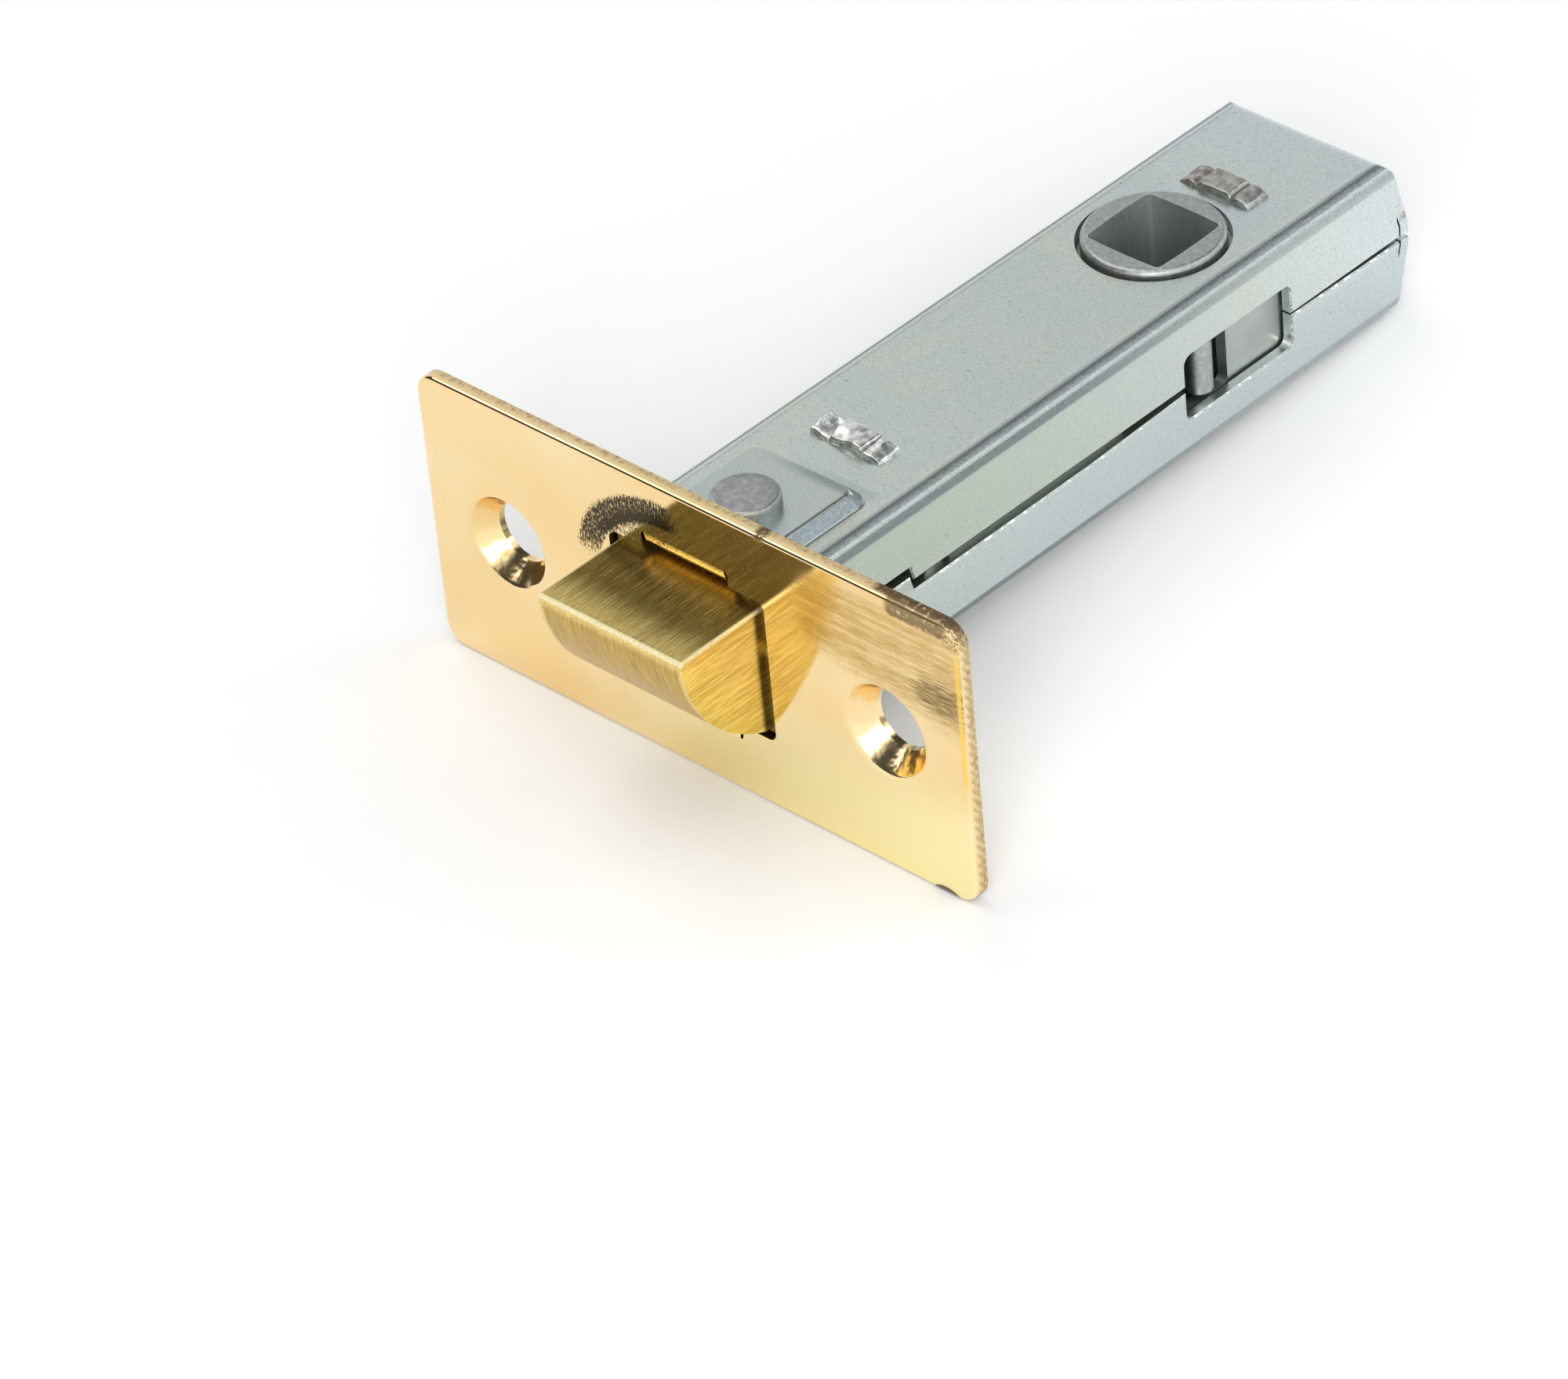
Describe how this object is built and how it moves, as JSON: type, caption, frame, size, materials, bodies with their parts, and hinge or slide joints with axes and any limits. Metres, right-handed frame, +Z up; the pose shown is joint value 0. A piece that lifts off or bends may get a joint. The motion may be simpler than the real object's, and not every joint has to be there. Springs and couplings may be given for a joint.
{
  "type": "tubular door latch",
  "caption": "Tubular mortice door latch: folded two-shell case, brassed forend with dished screw holes, sprung bevelled bolt and a square-hole hub that draws it in.",
  "frame": {"origin": "centre of the forend's front face, midway between its two screw holes", "axes": "+X along the forend plate, +Y back into the door along the case, +Z up, away from the bolt's bevelled side"},
  "size_m": [0.0596, 0.0877, 0.0272],
  "materials": {
    "brassed_plate": "polished electro-brass plating on steel",
    "zinc_plated_case": "zinc-plated sheet steel, pale passivate",
    "zinc_plated_rivet": "zinc-plated rivet, satin",
    "staked_steel": "hammered steel ends with a little rust",
    "solid_brass": "brushed along its length",
    "inner_steel": "plain pressed and turned steel",
    "spring_steel": "oiled spring wire",
    "zinc_casting": "grey die-cast zinc, edges worn bright"
  },
  "bodies": {
    "case": {"forend_plate": "brassed_plate", "upper_shell": "zinc_plated_case", "lower_shell": "zinc_plated_case", "upper_rivet": "zinc_plated_rivet", "lower_rivet": "zinc_plated_rivet", "front_post": "staked_steel", "rear_post": "staked_steel", "spring_washer": "inner_steel", "bolt_spring": "spring_steel"},
    "bolt_run": {"bolt": "solid_brass", "bolt_tail": "inner_steel", "left_arm": "inner_steel", "right_arm": "inner_steel", "arm_pin": "inner_steel"},
    "follower": {"hub": "zinc_casting"}
  },
  "joints": [
    {"name": "bolt_slide", "type": "slide", "parent": "case", "child": "bolt_run", "axis": [0, 1, 0], "range_m": [0, 0.0089], "stiffness_N_per_m": 900, "springref_m": -0.008, "deforming": ["bolt_spring"]},
    {"name": "hub_turn", "type": "hinge", "parent": "case", "child": "follower", "pos_m": [0, 0.057, 0], "axis": [0, 0, 1], "range_deg": [0, 75]}
  ],
  "couplings": [
    {"joint": "hub_turn", "follows": "bolt_slide", "rad_per_m": 147.07}
  ]
}
